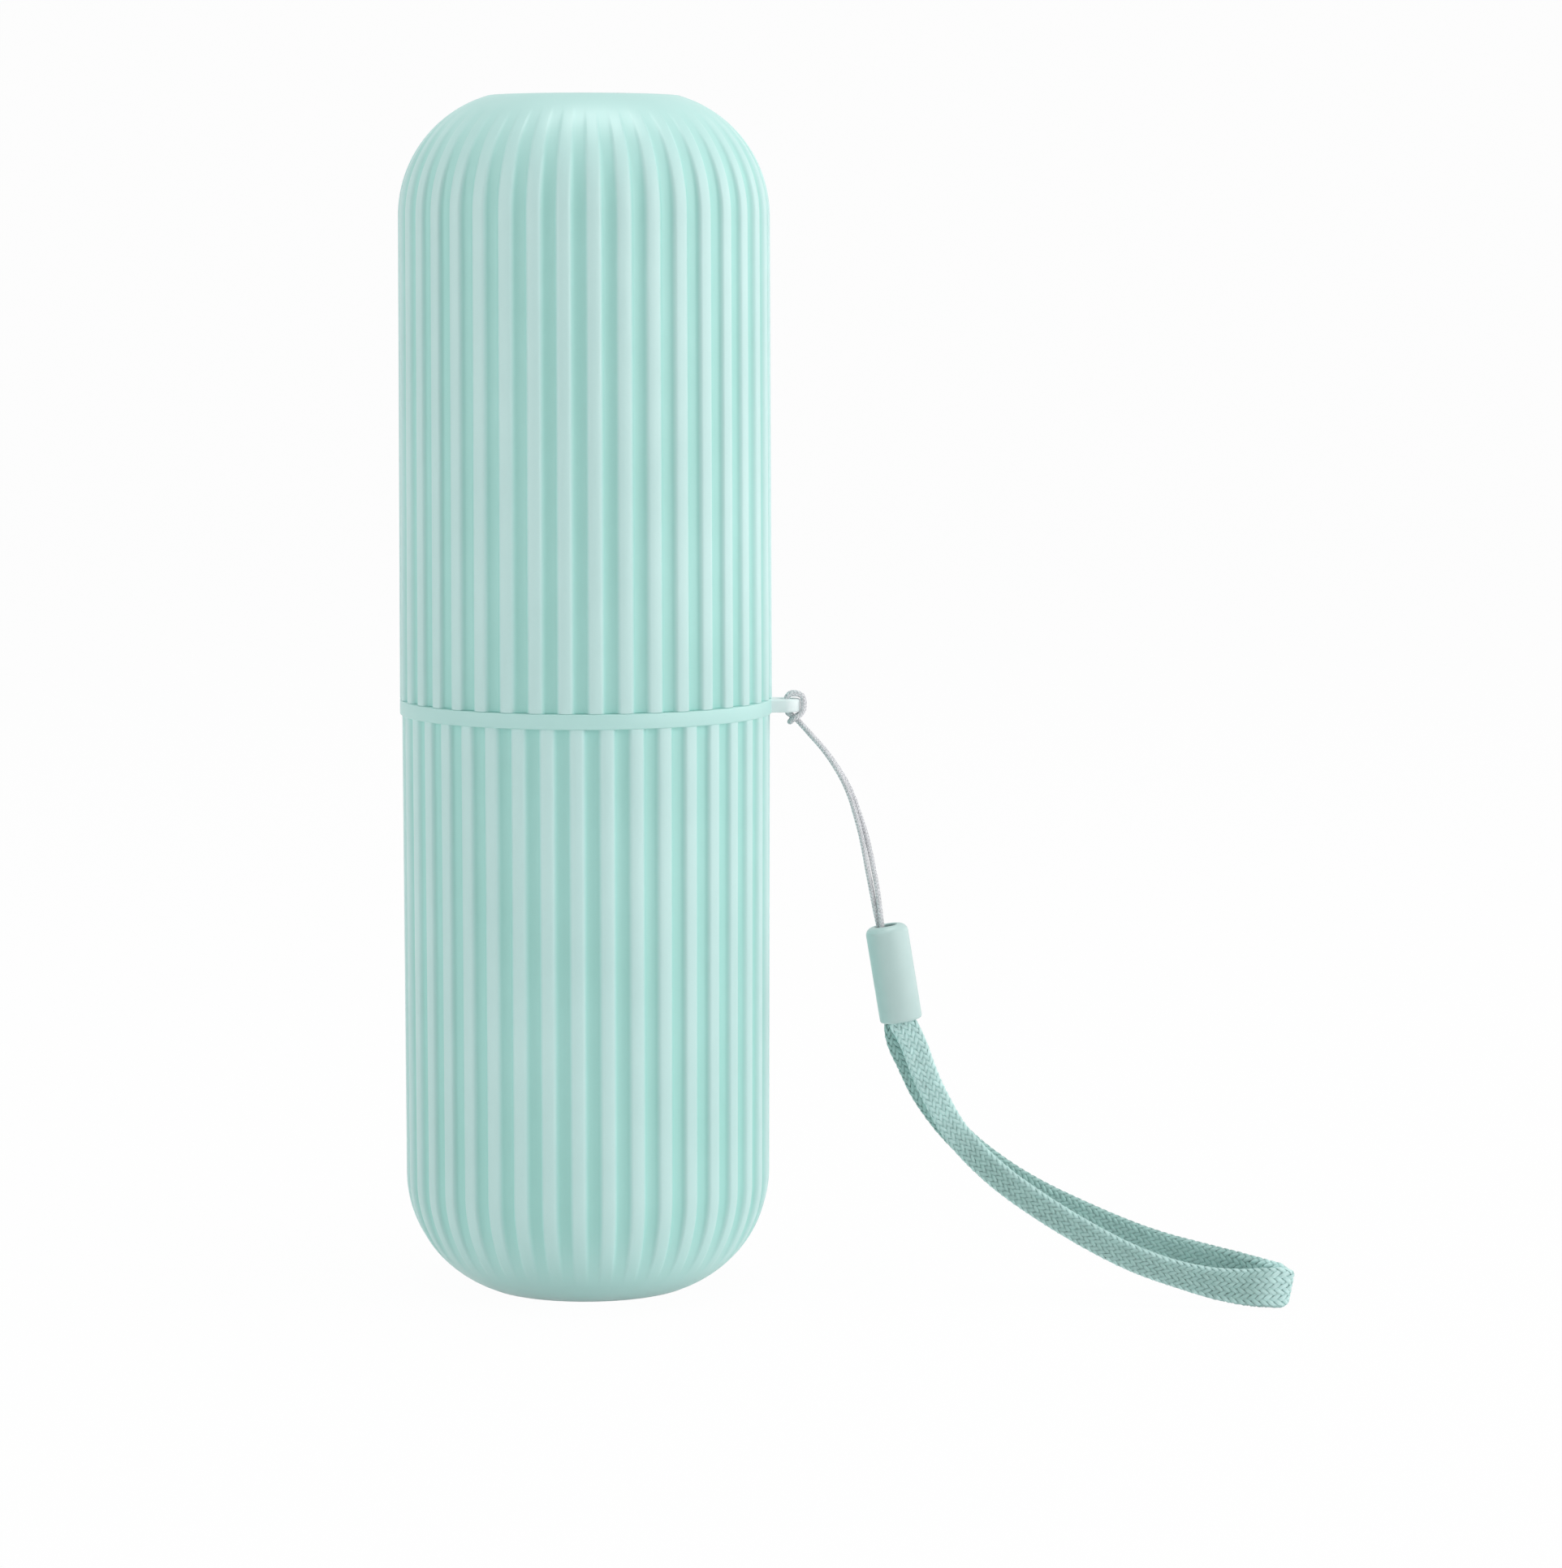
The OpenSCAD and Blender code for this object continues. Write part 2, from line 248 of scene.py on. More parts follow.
def ring(r, z, turn=0.0, depth=0.0):
    """One row of a ribbed surface: points round the axis, each with its painted shade as a fourth
    number.
    """
    points = []
    ribbed = depth / rib_depth
    for angle, share in columns:
        out = r - share * depth * math.cos(turn)
        up = z - share * depth * math.sin(turn)
        # Painted shade: darker down the grooves, and a middling painted shade where the ribs run out
        tone = smooth_step((share - shade_start_share) / shade_span_share)
        tone = tone * ribbed + smooth_shade * (1 - ribbed)
        points.append((out * math.cos(angle), out * math.sin(angle), up, tone))
    return points


def half_outside(mouth_r, height, end_cut, draft, smooth, hold=1.0):
    """Rows of a half case as (radius, height, turn, depth), from the mouth to the flat end.

    Above 1, hold keeps the grooves deeper before they run out.
    """
    axis_z = height + end_cut - corner_r
    axis_r = mouth_r - axis_z * math.tan(draft) - corner_r
    edge_turn = math.asin((height - axis_z) / corner_r)
    fade_turn = edge_turn - smooth / corner_r
    rows = []
    wall_rows = 6
    for i in range(wall_rows):
        z = axis_z * i / wall_rows
        rows.append((mouth_r - z * math.tan(draft), z, draft, rib_depth))
    corner_rows = 26
    for i in range(corner_rows + 1):
        turn = draft + (fade_turn - draft) * i / corner_rows
        fade = (1 + math.cos(math.pi * (i / corner_rows) ** hold)) / 2
        r = axis_r + corner_r * math.cos(turn)
        rows.append((r, axis_z + corner_r * math.sin(turn), turn, rib_depth * fade))
    edge_rows = 4
    for i in range(1, edge_rows + 1):
        turn = fade_turn + (edge_turn - fade_turn) * i / edge_rows
        rows.append((axis_r + corner_r * math.cos(turn), axis_z + corner_r * math.sin(turn), turn, 0))
    return rows, axis_r, axis_z


def half_inside(inner_r, axis_r, axis_z):
    """Rows of a half case's hollow, from the end of its straight bore to its flat."""
    round_r = inner_r - axis_r
    flat_turn = math.asin(min((corner_r - cap_t) / round_r, 1))
    corner_rows = 12
    rows = []
    for i in range(corner_rows + 1):
        turn = flat_turn * i / corner_rows
        rows.append((axis_r + round_r * math.cos(turn), axis_z + round_r * math.sin(turn)))
    return rows


def close_rings(rings, first_centre, last_centre):
    """Points, faces and painted shade marks of a closed skin over rings, with a centre at each end."""
    count = len(rings[0])
    points = [p[:3] for r in rings for p in r]
    tones = [p[3] for r in rings for p in r] + [smooth_shade, smooth_shade]
    faces = []
    for i in range(len(rings) - 1):
        for j in range(count):
            k = (j + 1) % count
            a, b = i * count, (i + 1) * count
            faces.append((a + j, a + k, b + k, b + j))
    centre = len(points)
    points += [first_centre, last_centre]
    end = (len(rings) - 1) * count
    for j in range(count):
        k = (j + 1) % count
        faces.append((centre, k, j))
        faces.append((centre + 1, end + j, end + k))
    return points, faces, {"groove": tones}


def loop_faces(ring_count, sides):
    """Faces of a skin over rings of points whose last ring joins the first."""
    faces = []
    for i in range(ring_count):
        for j in range(sides):
            k = (j + 1) % sides
            a, b = i * sides, (i + 1) % ring_count * sides
            faces.append((a + j, b + j, b + k, a + k))
    return faces


def rounded_edge(r, z, r_sign, z_sign, radius, falling):
    """Rows round an outer corner at (r, z) whose material lies to the side that the signs give."""
    steps = 4
    rows = []
    for i in range(steps + 1):
        a = math.pi / 2 * i / steps
        if falling:
            a = math.pi / 2 - a
        rows.append(
            (r + r_sign * radius * (1 - math.cos(a)), z + z_sign * radius * (1 - math.sin(a)))
        )
    return rows


def flat_rows(edge_r, z):
    """Two rows inside a flat end, close to its edge, that keep its shading flat."""
    rim = 0.6 * MM
    return [(edge_r - rim, z), (edge_r / 2, z)]


def add_lid(material):
    height = case_h - seam_z
    outside, axis_r, axis_z = half_outside(case_r, height, top_cut, lid_draft, lid_smooth)
    edge_r, edge_z = outside[-1][0], outside[-1][1]
    rings = [ring(r, z) for r, z in reversed(flat_rows(edge_r, edge_z))]
    rings += [ring(*row) for row in reversed(outside[1:])]
    for r, z in rounded_edge(case_r, 0, -1, 1, edge_round, falling=True)[::-1]:
        rings.append(ring(r, z, lid_draft, rib_depth))
    for r, z in rounded_edge(bore_r, 0, 1, 1, edge_round, falling=True):
        rings.append(ring(r, z))
    inside = half_inside(bore_r, axis_r, axis_z)
    rings += [ring(r, z) for r, z in inside]
    rings += [ring(r, z) for r, z in flat_rows(*inside[-1])]
    points, faces, marks = close_rings(rings, (0, 0, edge_z), (0, 0, inside[-1][1]))
    place = Matrix.Translation((0, 0, seam_z)) @ Matrix.Rotation(lid_turn, 4, "Z")
    points = [place @ Vector(p) for p in points]
    piece = add_mesh("lid_shell", points, faces, material, math.radians(50), marks)
    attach(piece, "lid")
    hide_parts("lid")


def add_base(material):
    outside, axis_r, axis_z = half_outside(base_r, band_z, foot_cut, base_draft, base_smooth, base_hold)
    edge_r, edge_z = outside[-1][0], outside[-1][1]
    rings = [ring(r, band_z - z) for r, z in reversed(flat_rows(edge_r, edge_z))]
    for r, z, turn, depth in reversed(outside):
        rings.append(ring(r, band_z - z, -turn, depth))
    band = rounded_edge(case_r, band_z, -1, 1, edge_round, falling=True)
    band += rounded_edge(case_r, seam_z, -1, -1, edge_round, falling=False)
    band += [(spigot_r + edge_round / 2, seam_z), (spigot_r, seam_z + edge_round / 2)]
    band += [(spigot_r, spigot_top - lead_in), (spigot_r - lead_in, spigot_top)]
    band += [(base_bore_r + edge_round / 2, spigot_top), (base_bore_r, spigot_top - edge_round / 2)]
    rings += [ring(r, z) for r, z in band]
    inside = half_inside(base_bore_r, axis_r, axis_z)
    rings += [ring(r, band_z - z) for r, z in inside]
    rings += [ring(r, band_z - z) for r, z in flat_rows(*inside[-1])]
    points, faces, marks = close_rings(rings, (0, 0, 0), (0, 0, band_z - inside[-1][1]))
    place = Matrix.Rotation(base_turn, 4, "Z")
    points = [place @ Vector(p) for p in points]
    faces = [tuple(reversed(f)) for f in faces]
    piece = add_mesh("base_shell", points, faces, material, math.radians(50), marks)
    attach(piece, "base")
    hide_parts("base_cup")


def add_eye_tab(material):
    """Tab with a round end and a round hole, its edges rounded over."""
    sides = 64
    back = eye.x - (base_r - lid_wall)
    half_w = eye_w / 2
    hole_r = eye_hole_d / 2
    least_sine = 1e-6

    def rim(angle, inset):
        reach = half_w
        if math.cos(angle) < 0:
            beside = half_w / max(abs(math.sin(angle)), least_sine)
            reach = min(beside, back / -math.cos(angle))
        return reach - inset

    edge_steps = 4
    rows = []
    for i in range(edge_steps + 1):
        a = math.pi / 2 * i / edge_steps
        rows.append((eye_round * (1 - math.sin(a)), eye_t / 2 - eye_round * (1 - math.cos(a))))
    rows += [(inset, -z) for inset, z in reversed(rows)]
    angles = [math.tau * j / sides for j in range(sides)]
    rings = [[(a, rim(a, inset), z) for a in angles] for inset, z in rows]
    rings += [[(a, hole_r + inset, z) for a in angles] for inset, z in reversed(rows)]
    points = [
        eye + Vector((reach * math.cos(a), reach * math.sin(a), z)) for r in rings for a, reach, z in r
    ]
    faces = loop_faces(len(rings), sides)
    piece = add_mesh("eye_tab", points, faces, material, math.radians(50))
    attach(piece, "base")


# Routes
def to_frame(route):
    return [eye + Vector(p) * MM for p in route]


def smooth_route(points, step):
    """A smooth curve through the points, sampled about every step."""
    ends = [2 * points[0] - points[1]] + points + [2 * points[-1] - points[-2]]
    out = []
    for i in range(1, len(ends) - 2):
        p0, p1, p2, p3 = ends[i - 1 : i + 3]
        count = max(1, round((p2 - p1).length / step))
        for n in range(count):
            t = n / count
            out.append(
                0.5
                * (
                    2 * p1
                    + (p2 - p0) * t
                    + (2 * p0 - 5 * p1 + 4 * p2 - p3) * t**2
                    + (3 * p1 - p0 - 3 * p2 + p3) * t**3
                )
            )
    out.append(points[-1])
    return out


def headings(points):
    last = len(points) - 1
    return [(points[min(i + 1, last)] - points[max(i - 1, 0)]).normalized() for i in range(last + 1)]


def mileage(points):
    miles = [0.0]
    for a, b in zip(points, points[1:]):
        miles.append(miles[-1] + (b - a).length)
    return miles


def across(v, along):
    return (v - v.dot(along) * along).normalized()


def string_path():
    """The string from inside the ferrule up one strand, through the hitch and down the other."""
    last = len(string_route) - 1
    centre = [Vector(p) for p in string_route]
    along = headings(centre)

    def strand(side):
        out = []
        for i in range(last + 1):
            deep = across(Vector((0, 1, 0)), along[i])
            turn = math.pi * (i / last) ** 2
            beside = math.cos(turn) * deep + math.sin(turn) * along[i].cross(deep)
            out.append(centre[i] + side * string_half_gap / MM * beside)
        return out

    round_the_tab = hitch_front + hitch_bight + hitch_back[::-1]
    route = strand(-1)[::-1] + [Vector(p) for p in round_the_tab] + strand(1)
    return to_frame(route)


# Braids
def stadium(share, half_w, half_t):
    """Point and outward direction on a flat section with round ends, at a share of its perimeter."""
    straight = 2 * (half_w - half_t)
    arc = math.pi * half_t
    run = (share % 1) * 2 * (straight + arc)
    for way in (1, -1):
        if run < straight:
            return (way * (run - straight / 2), way * half_t), (0, way)
        run -= straight
        if run < arc:
            a = run / half_t
            x, y = straight / 2 + half_t * math.sin(a), half_t * math.cos(a)
            return (way * x, way * y), (way * math.sin(a), way * math.cos(a))
        run -= arc
    return (-straight / 2, half_t), (0, 1)


def drift(*place):
    """A smooth number between -1 and 1 that wanders with a place."""
    return noise.noise(Vector(place))


def add_tube(points, faces, centres, besides, ups, sections):
    """One closed tube of the given cross directions, added to the points and faces."""
    first = len(points)
    for c, beside, up in zip(centres, besides, ups):
        for n in range(sections):
            a = math.tau * n / sections
            points.append(c + math.cos(a) * beside + math.sin(a) * up)
    for i in range(len(centres) - 1):
        for n in range(sections):
            m = (n + 1) % sections
            a, b = first + i * sections, first + (i + 1) * sections
            faces.append((a + n, b + n, b + m, a + m))
    tail = first + (len(centres) - 1) * sections
    faces.append(tuple(first + n for n in range(sections)))
    faces.append(tuple(tail + n for n in reversed(range(sections))))


class Braid:
    """A tubular braid along a path: half the yarns wind each way, over two and under two.

    sides gives each point's width direction, size_at the half width, the half thickness and the
    shift along the width there, and painted_light_at how much painted light its yarns get there.
    """

    yarn_sides = 5
    fibre_sides = 3
    # A yarn's rise and sink as a share of its thickness, and its half width as a share of its room
    lift_share = 0.42
    half_w_share = 0.52
    # Above 1, a yarn stays up or down for a stretch and crosses faster in between
    crossing_haste = 1.35
    # How much a yarn's place, rise, width and tone drift, the place as a share of its room
    wander_share = 0.12
    rise_drift_share = 0.25
    width_drift_share = 0.1
    tone_drift_share = 0.3
    # Painted light and shade: how much lighter a yarn is where it lies on top, and darker where it
    # sinks
    rise_light_share = 0.3
    # Steps that spread numbers evenly between 0 and 1
    even_steps = (0.6180339, 0.7548777, 0.5698403)

    def __init__(self, path, sides, size_at, painted_light_at, yarns, lay, yarn_t):
        self.path = path
        self.sides = sides
        self.size_at = size_at
        self.painted_light_at = painted_light_at
        self.each_way = yarns // 2
        self.lay = lay
        self.yarn_t = yarn_t
        self.along = headings(path)
        self.miles = mileage(path)
        self.points = []
        self.faces = []
        self.marks = {"tone": [], "inner": [], "pale": []}

    def surface(self, i, share, inset):
        """Point and outward direction at a share of the perimeter, and how far it faces inwards."""
        half_w, half_t, shift = self.size_at(self.miles[i])
        (x, y), (nx, ny) = stadium(share, half_w - inset, half_t - inset)
        inwards = self.sides[i].cross(self.along[i])
        place = self.path[i] + (x + shift) * self.sides[i] + y * inwards
        return place, nx * self.sides[i] + ny * inwards, ny

    def keep(self, each, **marks):
        """Marks for the points just added, each value for so many of them."""
        for name, values in marks.items():
            self.marks[name] += [v for v in values for n in range(each)]

    def add_yarns(self):
        """Every yarn as a tube; the factors inside drift set how fast each kind of drift changes."""
        lift = self.yarn_t * self.lift_share
        inset = self.yarn_t / 2 + lift
        for way in (1, -1):
            for k in range(self.each_way):
                centres, normals, halves, tones, inners, painted_lights = [], [], [], [], [], []
                for i in range(len(self.path)):
                    mile = self.miles[i] / self.lay
                    wander = self.wander_share / self.each_way * drift(9 * mile, 5 * k, 3 * way)
                    share = way * mile + k / self.each_way + wander
                    place, normal, inner = self.surface(i, share, inset)
                    crossing = 2 * k + way * 2 * self.each_way * mile
                    weave = self.crossing_haste * math.cos(math.pi / 2 * (crossing - 0.5))
                    weave = min(max(weave, -1), 1)
                    uneven = 1 + self.rise_drift_share * drift(14 * mile, 7 * k, 11 * way)
                    rise = way * weave * uneven
                    centres.append(place + rise * lift * normal)
                    normals.append(normal)
                    half_w, half_t = self.size_at(self.miles[i])[:2]
                    perimeter = 4 * (half_w - half_t) + math.tau * half_t
                    width = perimeter / self.each_way * math.cos(math.atan(perimeter / self.lay))
                    uneven = 1 + self.width_drift_share * drift(20 * mile, 3 * k, 13 * way)
                    halves.append(self.half_w_share * width * uneven)
                    tone = 0.5 + self.tone_drift_share * drift(2.3 * k + 0.5, 3 * mile, 17 * way)
                    # Painted shade where the yarn sinks and painted light where it rises
                    tones.append(tone + self.rise_light_share * rise)
                    # How far the yarn faces inwards, where the material paints fill light or shade
                    inners.append(max(inner, 0))
                    # Painted light: how much lighter the yarn is painted here
                    painted_lights.append(self.painted_light_at(self.miles[i], inner))
                besides, ups = [], []
                for heading, normal, half in zip(headings(centres), normals, halves):
                    beside = heading.cross(normal).normalized()
                    besides.append(half * beside)
                    ups.append(self.yarn_t / 2 * beside.cross(heading))
                add_tube(self.points, self.faces, centres, besides, ups, self.yarn_sides)
                self.keep(self.yarn_sides, tone=tones, inner=inners, pale=painted_lights)

    def add_core(self, sections):
        """A solid filling just under the yarns, so that no gap between them is empty."""
        first = len(self.points)
        for i in range(len(self.path)):
            for n in range(sections):
                self.points.append(self.surface(i, n / sections, self.yarn_t)[0])
            # Painted shade: the core takes the darkest yarn colour, seen in the gaps between the yarns,
            # with half the painted light
            pale = self.painted_light_at(self.miles[i], 1) / 2
            self.keep(sections, tone=[0], inner=[1], pale=[pale])
        for i in range(len(self.path) - 1):
            for n in range(sections):
                m = (n + 1) % sections
                a, b = first + i * sections, first + (i + 1) * sections
                self.faces.append((a + n, a + m, b + m, b + n))
        tail = first + (len(self.path) - 1) * sections
        self.faces.append(tuple(first + n for n in reversed(range(sections))))
        self.faces.append(tuple(tail + n for n in range(sections)))

    def add_fibres(self, count, mean_len, fibre_t):
        """Short stray fibres that stand off the braid in low arcs and taper to their tips."""
        steps = 4
        tip_share = 0.05
        rise_share = 0.62
        droop_share = 0.4
        tone = 0.8
        for n in range(count):
            i = 2 + int((n + 0.5) / count * (len(self.path) - 4))
            share, spin_share, len_share = (n * step % 1 for step in self.even_steps)
            root, normal, inner = self.surface(i, share, self.yarn_t / 2)
            spin = math.tau * spin_share
            lie = math.cos(spin) * self.along[i] + math.sin(spin) * self.along[i].cross(normal)
            length = mean_len * (0.5 + len_share)
            centres, besides, ups = [], [], []
            for j in range(steps + 1):
                t = j / steps
                rise = (rise_share * t - droop_share * t * t) * length
                half = fibre_t / 2 * (1 + tip_share - t)
                centres.append(root + t * length * lie + rise * normal)
                besides.append(half * lie.cross(normal))
                ups.append(half * normal)
            add_tube(self.points, self.faces, centres, besides, ups, self.fibre_sides)
            pale = self.painted_light_at(self.miles[i], inner)
            each = self.fibre_sides * (steps + 1)
            self.keep(each, tone=[tone], inner=[max(inner, 0)], pale=[pale])

    def finish(self, name, material):
        return add_mesh(name, self.points, self.faces, material, marks=self.marks)


def add_string(material):
    path = smooth_route(string_path(), string_step)
    side = Vector((1, 0, 0))
    sides = []
    for a in headings(path):
        side = across(side, a)
        sides.append(side)
    half = string_d / 2

    def size_at(s):
        return half, half, 0

    def painted_light_at(s, inner):
        return 0

    braid = Braid(path, sides, size_at, painted_light_at, string_yarns, string_lay, string_yarn_t)
    braid.add_yarns()
    braid.add_core(sections=12)
    piece = braid.finish("string_cord", material)
    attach(piece, "lanyard")
    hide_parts("string_loop")
    return piece, path


def add_strap(material):
    path = smooth_route(to_frame(strap_route), strap_step)
    miles = mileage(path)
    total = miles[-1]
    sides = []
    for p, a, s in zip(path, headings(path), miles):
        rise = ((p.z - eye.z) / MM - strap_low) / (strap_high - strap_low)
        lean = edge_lean_share * rise
        lean += fold_lean_share * smooth_step(1 - abs(s - total / 2) / fold_lean_len)
        lean += held_lean_share * smooth_step((held_lean_start - min(s, total - s)) / held_lean_len)
        sides.append(across(Vector((lean, 0, 1)), a))
    # The fold's corners, drawn in and down over a short stretch
    corner = 1.4 * MM
    corner_pull = 0.5 * MM
    corner_drop = 0.3 * MM
    # Above 1, the ends keep their narrow width for a stretch before they widen
    gather_hold = 1.6
    # How far the painted light reaches from the front run's end below the ferrule and from the fold,
    # and their fades
    ferrule_light_reach = 38 * MM
    ferrule_light_fade = 15 * MM
    bend_reach = 8 * MM
    bend_fade = 6 * MM
    front_fade = 10 * MM
    # Painted highlight on the front run's rounded edges: its strength and how closely it keeps to them
    rim_highlight_share = 0.55
    rim_sharpness = 12

    def size_at(s):
        flat = smooth_step(1 - abs(s - total / 2) / strap_flare)
        held = smooth_step(gather_hold * (1 - min(s, total - s) / strap_gather))
        w = strap_w + (strap_fold_w - strap_w) * flat + (strap_gather_w - strap_w) * held
        pinch = math.exp(-(((s - total / 2) / corner) ** 2))
        return w / 2 - corner_pull * pinch, strap_t / 2, -corner_drop * pinch

    def painted_light_at(s, inner):
        """Painted light: lighter below the ferrule and at the fold, with a painted highlight on the
        front run's rims.
        """
        ferrule_light = smooth_step((ferrule_light_reach - s) / ferrule_light_fade)
        bend = smooth_step((bend_reach - abs(s - total / 2)) / bend_fade)
        front = smooth_step((total / 2 - s) / front_fade)
        rim = rim_highlight_share * smooth_step(rim_sharpness * (1 - abs(inner))) * front
        return max(ferrule_light, bend, rim)

    braid = Braid(path, sides, size_at, painted_light_at, strap_yarns, strap_lay, strap_yarn_t)
    braid.add_yarns()
    braid.add_core(sections=20)
    braid.add_fibres(strap_fibres, strap_fibre_len, strap_fibre_t)
    piece = braid.finish("strap_braid", material)
    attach(piece, "lanyard")
    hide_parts("strap_loop")
    return piece, path


def add_ferrule(material):
    """A sleeve with a rounded head, a hole in it for the string and an open foot for the strap."""
    sides = 72
    r = ferrule_d / 2
    rows = []
    steps = 8
    for i in range(steps + 1):
        a = math.pi / 2 * i / steps
        rows.append((r - ferrule_round * (1 - math.sin(a)), -ferrule_round * (1 - math.cos(a))))
    foot = ferrule_foot_round
    for i in range(steps + 1):
        a = math.pi / 2 * i / steps
        rows.append((r - foot * (1 - math.cos(a)), -ferrule_len + foot * (1 - math.sin(a))))
    edge = ferrule_bore_round
    inner = r - ferrule_wall
    rows += [(inner + edge, -ferrule_len), (inner, -ferrule_len + edge), (inner, -ferrule_cap)]
    hole = ferrule_hole_d / 2
    rows += [(hole, -ferrule_cap), (hole, -edge), (hole + edge, 0)]
    points = []
    place = Matrix.Translation(eye + ferrule_head) @ Matrix.Rotation(-ferrule_lean, 4, "Y")
    for radius, z in rows:
        for j in range(sides):
            a = math.tau * j / sides
            points.append(place @ Vector((radius * math.cos(a), radius * math.sin(a), z)))
    faces = loop_faces(len(rows), sides)
    piece = add_mesh("ferrule_sleeve", points, faces, material, math.radians(40))
    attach(piece, "lanyard")
    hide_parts("ferrule")
    return piece


# Materials
# Where most of a noise's numbers lie
noise_span = (0.3, 0.7)


def srgb(r, g, b):
    """A colour written as eight-bit display values, as the shader takes it."""

    def linear(v):
        v /= 255
        return v / 12.92 if v <= 0.04045 else ((v + 0.055) / 1.055) ** 2.4

    return (linear(r), linear(g), linear(b), 1)


def new_material(name):
    material = bpy.data.materials.new(name)
    material.use_nodes = True
    return material, material.node_tree, material.node_tree.nodes["Principled BSDF"]


def add_noise(tree, scale, detail):
    place = tree.nodes.new("ShaderNodeTexCoord")
    cloud = tree.nodes.new("ShaderNodeTexNoise")
    cloud.inputs["Scale"].default_value = scale
    cloud.inputs["Detail"].default_value = detail
    tree.links.new(place.outputs["Object"], cloud.inputs["Vector"])
    return cloud.outputs["Fac"]


def add_ramp(tree, fac, low, high, span=noise_span):
    """Colour that drifts between two close shades with a number."""
    ramp = tree.nodes.new("ShaderNodeValToRGB")
    ramp.color_ramp.elements[0].color = low
    ramp.color_ramp.elements[0].position = span[0]
    ramp.color_ramp.elements[1].color = high
    ramp.color_ramp.elements[1].position = span[1]
    tree.links.new(fac, ramp.inputs["Fac"])
    return ramp.outputs["Color"]


def add_mark(tree, name):
    mark = tree.nodes.new("ShaderNodeAttribute")
    mark.attribute_name = name
    return mark.outputs["Fac"]


def add_mix(tree, fac, first, second, blend="MIX"):
    mix = tree.nodes.new("ShaderNodeMix")
    mix.data_type = "RGBA"
    mix.blend_type = blend
    # The node's share and its two colours, among sockets for other kinds of data
    for i, value in ((0, fac), (6, first), (7, second)):
        if isinstance(value, bpy.types.NodeSocket):
            tree.links.new(value, mix.inputs[i])
        else:
            mix.inputs[i].default_value = value
    return mix.outputs[2]


def vary_roughness(tree, fac, low, high, shader):
    spread = tree.nodes.new("ShaderNodeMapRange")
    spread.inputs["From Min"].default_value = noise_span[0]
    spread.inputs["From Max"].default_value = noise_span[1]
    spread.inputs["To Min"].default_value = low
    spread.inputs["To Max"].default_value = high
    tree.links.new(fac, spread.inputs["Value"])
    tree.links.new(spread.outputs["Result"], shader.inputs["Roughness"])


def add_bump(tree, height, strength, distance, shader):
    node = tree.nodes.new("ShaderNodeBump")
    node.inputs["Strength"].default_value = strength
    node.inputs["Distance"].default_value = distance
    tree.links.new(height, node.inputs["Height"])
    tree.links.new(node.outputs["Normal"], shader.inputs["Normal"])


def add_moulded_grain(tree, shader):
    """The very fine, shallow unevenness of a satin mould."""
    grain = add_noise(tree, scale=2600, detail=2)
    add_bump(tree, grain, strength=0.12, distance=0.02 * MM, shader=shader)


def case_plastic():
    """Satin moulding: its own colour on the crests, with painted shade down in the grooves and on the
    smooth faces.
    """
    material, tree, shader = new_material("case_plastic")
    cloud = add_noise(tree, scale=45, detail=3)
    crest = add_ramp(tree, cloud, srgb(189, 223, 220), srgb(195, 228, 225))
    # Painted shade: the darker colour down on the groove floors
    floor = add_ramp(tree, cloud, srgb(163, 216, 208), srgb(169, 220, 213))
    colour = add_mix(tree, add_mark(tree, "groove"), crest, floor)
    tree.links.new(colour, shader.inputs["Base Color"])
    vary_roughness(tree, add_noise(tree, scale=160, detail=4), low=0.38, high=0.46, shader=shader)
    add_moulded_grain(tree, shader)
    return material


def plain_plastic(name, low, high):
    material, tree, shader = new_material(name)
    colour = add_ramp(tree, add_noise(tree, scale=120, detail=3), low, high)
    tree.links.new(colour, shader.inputs["Base Color"])
    vary_roughness(tree, add_noise(tree, scale=300, detail=4), low=0.36, high=0.44, shader=shader)
    add_moulded_grain(tree, shader)
    return material


def yarn(name, low, high, pale, inner, grain):
    """Spun yarn: its tone drifts from yarn to yarn, with painted light and shade multiplied in where
    the pale and inner marks lie.

    pale multiplies the colour as painted light, inner as painted fill light above 1 and painted shade
    below 1, and grain is the scale of the fuzz.
    """
    material, tree, shader = new_material(name)
    tone = add_ramp(tree, add_mark(tree, "tone"), low, high, span=(0.15, 0.85))
    # Painted light where the pale mark lies, then painted fill light or painted shade on faces turned
    # inwards, as the inner colour is above or below 1
    tone = add_mix(tree, add_mark(tree, "pale"), tone, pale, "MULTIPLY")
    colour = add_mix(tree, add_mark(tree, "inner"), tone, inner, "MULTIPLY")
    cloud = add_noise(tree, scale=500, detail=2)
    speck = add_ramp(tree, cloud, (0.94, 0.94, 0.94, 1), (1.05, 1.05, 1.05, 1))
    tree.links.new(add_mix(tree, 1.0, colour, speck, "MULTIPLY"), shader.inputs["Base Color"])
    fuzz = add_noise(tree, scale=grain, detail=3)
    add_bump(tree, fuzz, strength=0.3, distance=0.04 * MM, shader=shader)
    vary_roughness(tree, cloud, low=0.82, high=0.96, shader=shader)
    shader.inputs["Sheen Weight"].default_value = 0.2
    shader.inputs["Sheen Roughness"].default_value = 0.5
    return material


# Studio
def add_seen(tree):
    """1 where the camera looks, straight or by way of a gloss, and 0 for all other light."""
    rays = tree.nodes.new("ShaderNodeLightPath")
    either = tree.nodes.new("ShaderNodeMath")
    either.operation = "ADD"
    either.use_clamp = True
    tree.links.new(rays.outputs["Is Camera Ray"], either.inputs[0])
    tree.links.new(rays.outputs["Is Glossy Ray"], either.inputs[1])
    return either.outputs[0]


